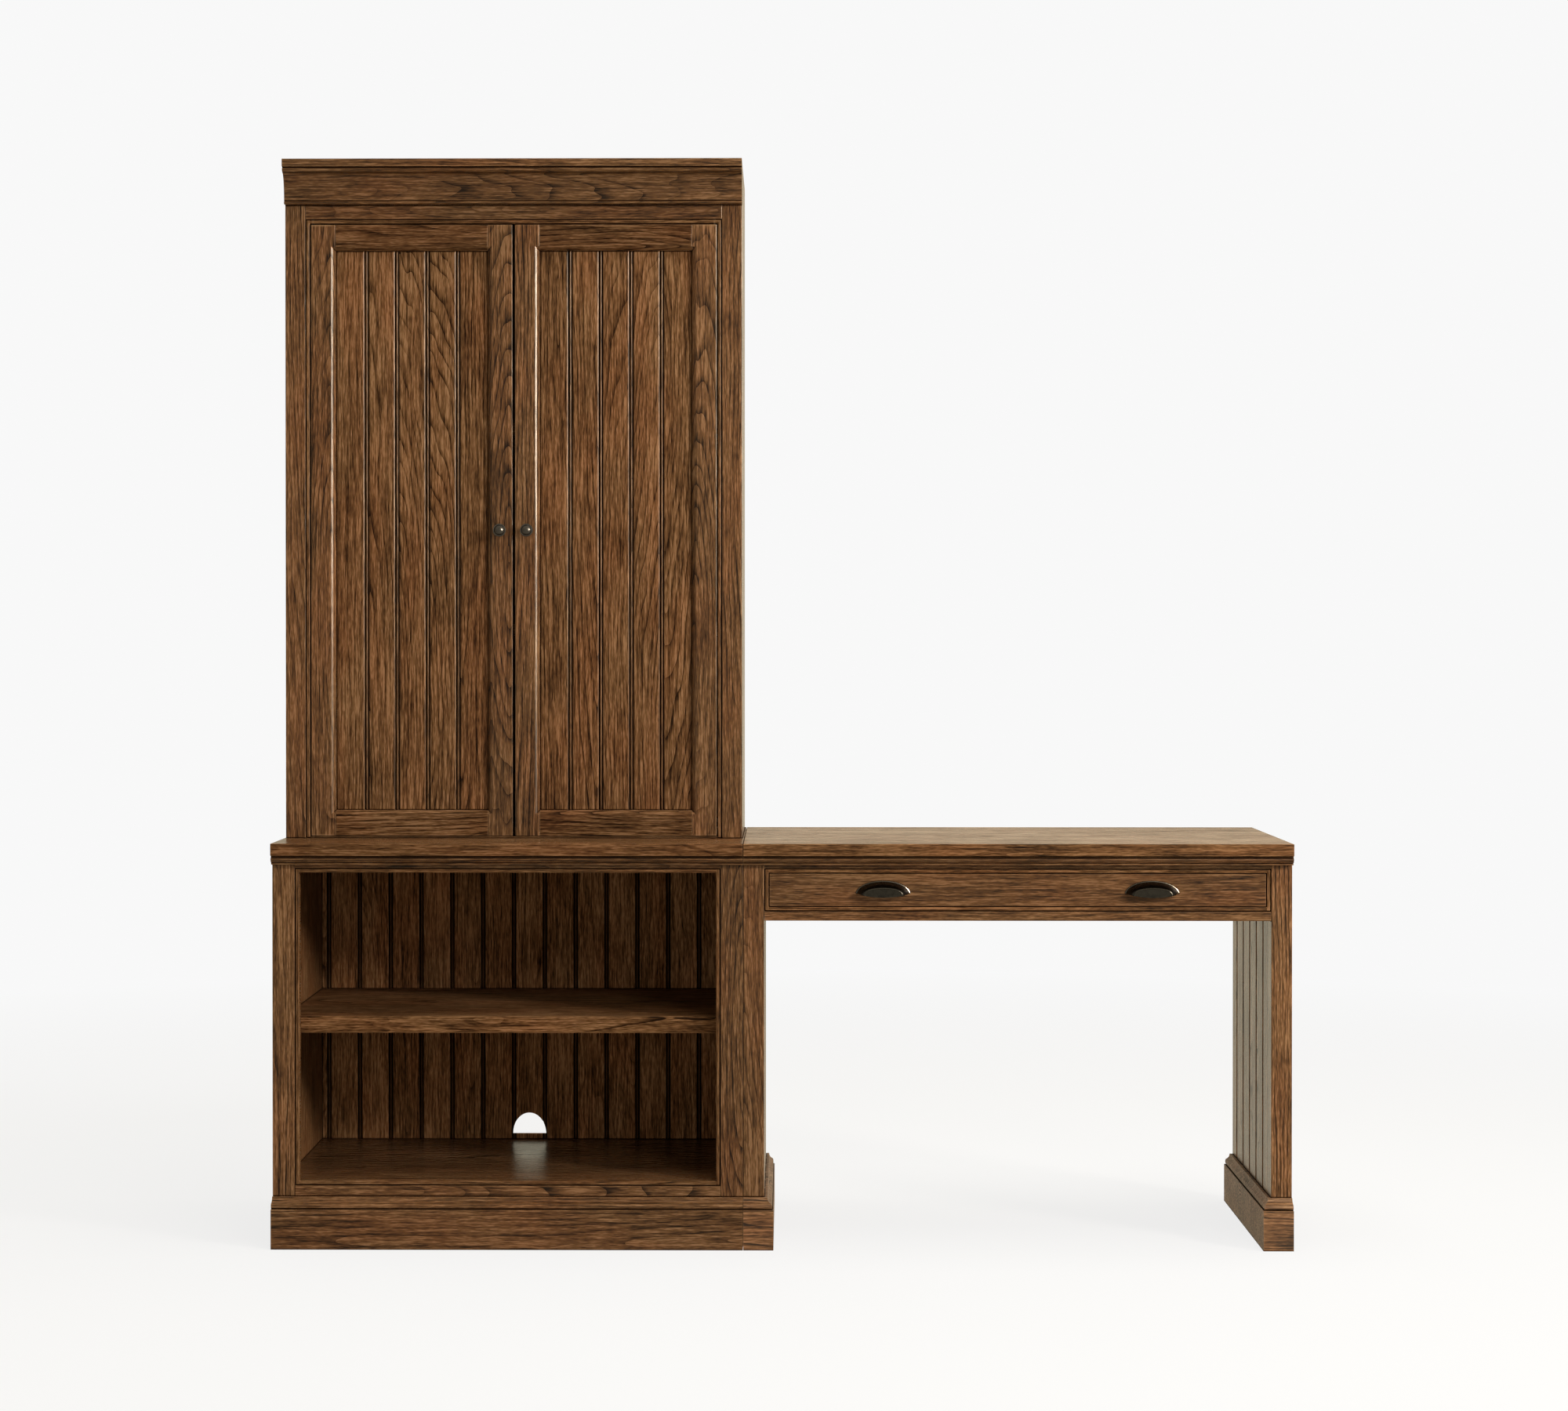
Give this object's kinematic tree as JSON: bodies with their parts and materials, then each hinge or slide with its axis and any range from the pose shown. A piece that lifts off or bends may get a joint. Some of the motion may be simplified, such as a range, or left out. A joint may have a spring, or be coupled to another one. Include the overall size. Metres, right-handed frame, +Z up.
{
  "type": "writing desk with bookcase",
  "caption": "Oak writing desk with a slim drawer under its top, beside a bookcase with an open shelved base and a hutch with hinged panelled doors under a cornice.",
  "frame": {"origin": "on the floor, in the middle of the footprint of desk and bookcase together", "axes": "+X to the right as seen by someone sitting at the desk, +Y to the back, +Z up"},
  "size_m": [1.9168, 0.533, 2.063],
  "materials": {
    "oak": "satin brown stain with open grain",
    "oak_panel": "satin brown stain, darker",
    "drawer_wood": "clear sealed, unstained",
    "bronze": "dark bronze, worn on the edges",
    "steel": "plain"
  },
  "bodies": {
    "case": {"base_left_side": "oak", "base_right_side": "oak", "base_bottom_shelf": "oak", "base_shelf": "oak", "base_top_board": "oak", "base_back_panel": "oak_panel", "base_left_stile": "oak", "base_right_stile": "oak", "base_top_rail": "oak", "base_bottom_rail": "oak", "base_opening_bead": "oak", "base_plinth": "oak", "base_top_moulding": "oak", "hutch_left_side": "oak", "hutch_right_side": "oak", "hutch_top_board": "oak", "hutch_bottom_board": "oak", "hutch_back_panel": "oak_panel", "hutch_left_stile": "oak", "hutch_right_stile": "oak", "hutch_top_rail": "oak", "hutch_opening_bead": "oak", "hutch_cornice": "oak", "hutch_lower_shelf": "oak", "hutch_upper_shelf": "oak", "desk_top": "oak", "desk_top_moulding": "oak", "desk_left_front_post": "oak", "desk_right_front_post": "oak", "desk_left_leg_panel": "oak", "desk_right_leg_panel": "oak", "desk_left_plinth": "oak", "desk_right_plinth": "oak", "desk_lower_rail": "oak", "desk_back_apron": "oak", "drawer_opening_bead": "oak", "drawer_runner_frame": "drawer_wood"},
    "left_door": {"left_door_hinge_stile": "oak", "left_door_meeting_stile": "oak", "left_door_top_rail": "oak", "left_door_bottom_rail": "oak", "left_door_panel": "oak", "left_door_upper_pivot": "steel", "left_door_lower_pivot": "steel", "left_door_knob": "bronze"},
    "right_door": {"right_door_hinge_stile": "oak", "right_door_meeting_stile": "oak", "right_door_top_rail": "oak", "right_door_bottom_rail": "oak", "right_door_panel": "oak", "right_door_upper_pivot": "steel", "right_door_lower_pivot": "steel", "right_door_knob": "bronze"},
    "drawer": {"drawer_front": "oak", "drawer_left_side": "drawer_wood", "drawer_right_side": "drawer_wood", "drawer_back": "drawer_wood", "drawer_bottom": "drawer_wood", "left_cup_pull": "bronze", "right_cup_pull": "bronze"}
  },
  "joints": [
    {"name": "left_door_hinge", "type": "hinge", "parent": "case", "child": "left_door", "pos_m": [-0.9017, -0.0975, 0.7665], "axis": [0, 0, 1], "range_deg": [-110, 0]},
    {"name": "right_door_hinge", "type": "hinge", "parent": "case", "child": "right_door", "pos_m": [-0.1291, -0.0975, 0.7665], "axis": [0, 0, 1], "range_deg": [0, 110]},
    {"name": "drawer_slide", "type": "slide", "parent": "case", "child": "drawer", "axis": [0, -1, 0], "range_m": [0, 0.3]}
  ]
}
